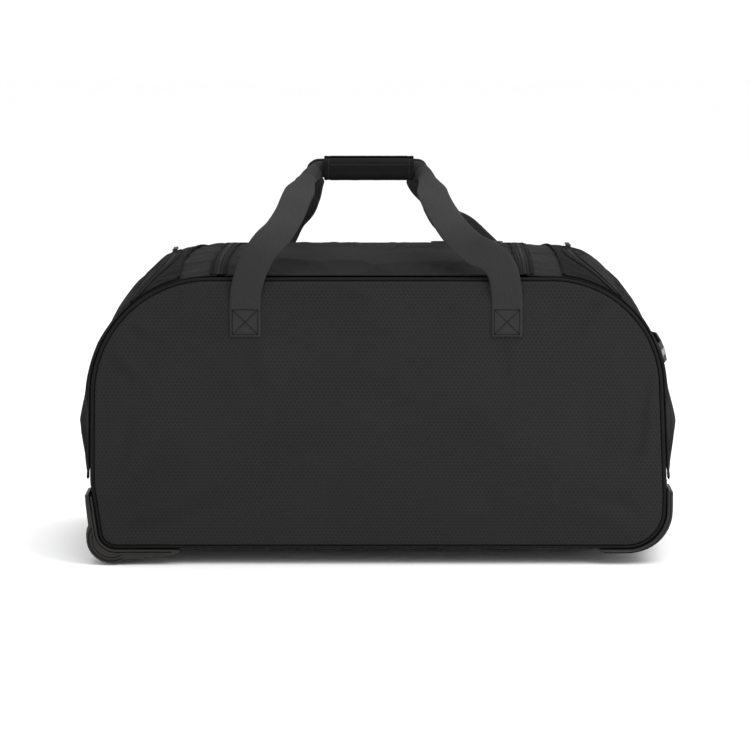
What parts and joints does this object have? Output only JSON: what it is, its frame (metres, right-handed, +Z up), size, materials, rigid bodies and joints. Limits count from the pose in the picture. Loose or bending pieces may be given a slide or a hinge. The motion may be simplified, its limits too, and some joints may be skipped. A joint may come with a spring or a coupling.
{
  "type": "rolling duffel bag",
  "caption": "Soft travel duffel on inline wheels: zipped lid, end pockets, carrying handles joined by a grip wrap, telescopic pull handle in the end, moulded corner guards.",
  "frame": {"origin": "on the floor, under the middle of the bag's bounding box", "axes": "+X along the length, from the wheel end towards the pull handle's end; +Y through the depth, away from the plain long front side; +Z up"},
  "size_m": [0.7986, 0.3712, 0.5226],
  "materials": {
    "panel_fabric": "dark grey honeycomb ripstop polyester",
    "plain_fabric": "dark grey plain woven polyester",
    "grip_fabric": "padded black woven polyester",
    "piping_cord": "black fabric-covered piping",
    "webbing": "dark grey ribbed webbing",
    "zip_tape": "black knitted zip tape with coil teeth",
    "zip_metal": "dark lacquered die-cast metal",
    "moulding": "warm dark grey moulded plastic",
    "wheel_tyre": "dark grey moulded wheel tyre",
    "steel": "plated steel",
    "aluminium": "anodised aluminium tube",
    "board": "stiff lined floor board"
  },
  "bodies": {
    "bag": {"front_panel": "panel_fabric", "rear_panel": "panel_fabric", "front_piping": "piping_cord", "rear_piping": "piping_cord", "base_panel": "plain_fabric", "wheel_end_gusset": "plain_fabric", "handle_end_gusset": "plain_fabric", "rear_top_strip": "plain_fabric", "body_zip_tape": "zip_tape", "wheel_end_pocket": "plain_fabric", "handle_end_pocket": "plain_fabric", "wheel_pocket_zip": "zip_tape", "handle_pocket_zip": "zip_tape", "grab_loop": "webbing", "front_strap_anchor_wheel": "webbing", "front_strap_anchor_handle": "webbing", "rear_strap_anchor_wheel": "webbing", "rear_strap_anchor_handle": "webbing", "front_wheel_housing": "moulding", "rear_wheel_housing": "moulding", "front_axle": "steel", "rear_axle": "steel", "front_corner_guard": "moulding", "rear_corner_guard": "moulding", "base_board": "board", "tube_bracket": "moulding", "front_stand_foot": "moulding", "rear_stand_foot": "moulding", "front_outer_tube": "aluminium", "rear_outer_tube": "aluminium", "handle_bezel": "moulding"},
    "lid": {"lid_panel": "plain_fabric", "lid_zip_tape": "zip_tape"},
    "front_handle": {"front_carry_strap": "webbing", "front_grip_wrap": "grip_fabric"},
    "rear_handle": {"rear_carry_strap": "webbing", "rear_grip_wrap": "grip_fabric"},
    "main_slider_wheel_side": {"main_zip_slider_wheel_side": "zip_metal"},
    "main_slider_handle_side": {"main_zip_slider_handle_side": "zip_metal"},
    "main_pull_wheel_side": {"main_zip_pull_wheel_side": "zip_metal"},
    "main_pull_handle_side": {"main_zip_pull_handle_side": "zip_metal"},
    "wheel_pocket_runner": {"wheel_pocket_slider": "zip_metal"},
    "handle_pocket_runner": {"handle_pocket_slider": "zip_metal"},
    "wheel_pocket_tab": {"wheel_pocket_pull": "zip_metal"},
    "handle_pocket_tab": {"handle_pocket_pull": "zip_metal"},
    "front_wheel": {"front_wheel_tyre": "wheel_tyre", "front_wheel_hub": "moulding"},
    "rear_wheel": {"rear_wheel_tyre": "wheel_tyre", "rear_wheel_hub": "moulding"},
    "pull_handle": {"pull_grip": "moulding", "front_inner_tube": "steel", "rear_inner_tube": "steel"},
    "button": {"release_button": "moulding"},
    "push_rods": {"front_push_rod": "steel", "rear_push_rod": "steel"},
    "lock_pins": {"front_lock_pin": "steel", "rear_lock_pin": "steel"}
  },
  "joints": [
    {"name": "lid_open", "type": "hinge", "parent": "bag", "child": "lid", "pos_m": [0, -0.17, 0.3801], "axis": [1, 0, 0], "range_deg": [0, 105]},
    {"name": "front_handle_fold", "type": "hinge", "parent": "bag", "child": "front_handle", "pos_m": [0, -0.1785, 0.3402], "axis": [1, 0, 0], "range_deg": [0, 157.5]},
    {"name": "rear_handle_fold", "type": "hinge", "parent": "bag", "child": "rear_handle", "pos_m": [0, 0.1785, 0.3402], "axis": [-1, 0, 0], "range_deg": [0, 157.5]},
    {"name": "main_zip_wheel_side_slide", "type": "slide", "parent": "lid", "child": "main_slider_wheel_side", "axis": [-1, 0, 0], "range_m": [0, 0.25]},
    {"name": "main_zip_handle_side_slide", "type": "slide", "parent": "lid", "child": "main_slider_handle_side", "axis": [1, 0, 0], "range_m": [0, 0.012]},
    {"name": "main_pull_wheel_side_flip", "type": "hinge", "parent": "main_slider_wheel_side", "child": "main_pull_wheel_side", "pos_m": [0.1001, 0.12, 0.3951], "axis": [0, 1, 0], "range_deg": [0, 85]},
    {"name": "main_pull_handle_side_flip", "type": "hinge", "parent": "main_slider_handle_side", "child": "main_pull_handle_side", "pos_m": [0.1439, 0.12, 0.3951], "axis": [0, -1, 0], "range_deg": [0, 85]},
    {"name": "wheel_pocket_zip_slide", "type": "slide", "parent": "bag", "child": "wheel_pocket_runner", "axis": [0, 1, 0], "range_m": [0, 0.04]},
    {"name": "handle_pocket_zip_slide", "type": "slide", "parent": "bag", "child": "handle_pocket_runner", "axis": [0, 1, 0], "range_m": [0, 0.04]},
    {"name": "wheel_pocket_pull_flip", "type": "hinge", "parent": "wheel_pocket_runner", "child": "wheel_pocket_tab", "pos_m": [-0.27459, 0.0279, 0.39414], "axis": [0.9533, 0, 0.3021], "range_deg": [0, 85]},
    {"name": "handle_pocket_pull_flip", "type": "hinge", "parent": "handle_pocket_runner", "child": "handle_pocket_tab", "pos_m": [0.25594, 0.0279, 0.4002], "axis": [0.9846, 0, -0.175], "range_deg": [0, 85]},
    {"name": "front_wheel_spin", "type": "hinge", "parent": "bag", "child": "front_wheel", "pos_m": [-0.35, -0.147, 0.0347], "axis": [0, 1, 0], "continuous": true},
    {"name": "rear_wheel_spin", "type": "hinge", "parent": "bag", "child": "rear_wheel", "pos_m": [-0.35, 0.147, 0.0347], "axis": [0, 1, 0], "continuous": true},
    {"name": "pull_handle_extend", "type": "slide", "parent": "bag", "child": "pull_handle", "axis": [1, 0, 0], "range_m": [0, 0.4]},
    {"name": "button_press", "type": "slide", "parent": "pull_handle", "child": "button", "axis": [-1, 0, 0], "range_m": [0, 0.0035], "stiffness_N_per_m": 400},
    {"name": "push_rod_slide", "type": "slide", "parent": "pull_handle", "child": "push_rods", "axis": [-1, 0, 0], "range_m": [0, 0.0035]},
    {"name": "lock_pin_retract", "type": "slide", "parent": "pull_handle", "child": "lock_pins", "axis": [0, 0, 1], "range_m": [0, 0.002]}
  ],
  "couplings": [
    {"joint": "front_handle_fold", "follows": "lid_open", "ratio": 1.5},
    {"joint": "rear_handle_fold", "follows": "lid_open", "ratio": 1.5},
    {"joint": "push_rod_slide", "follows": "button_press", "ratio": 1},
    {"joint": "lock_pin_retract", "follows": "button_press", "ratio": 0.5714}
  ]
}
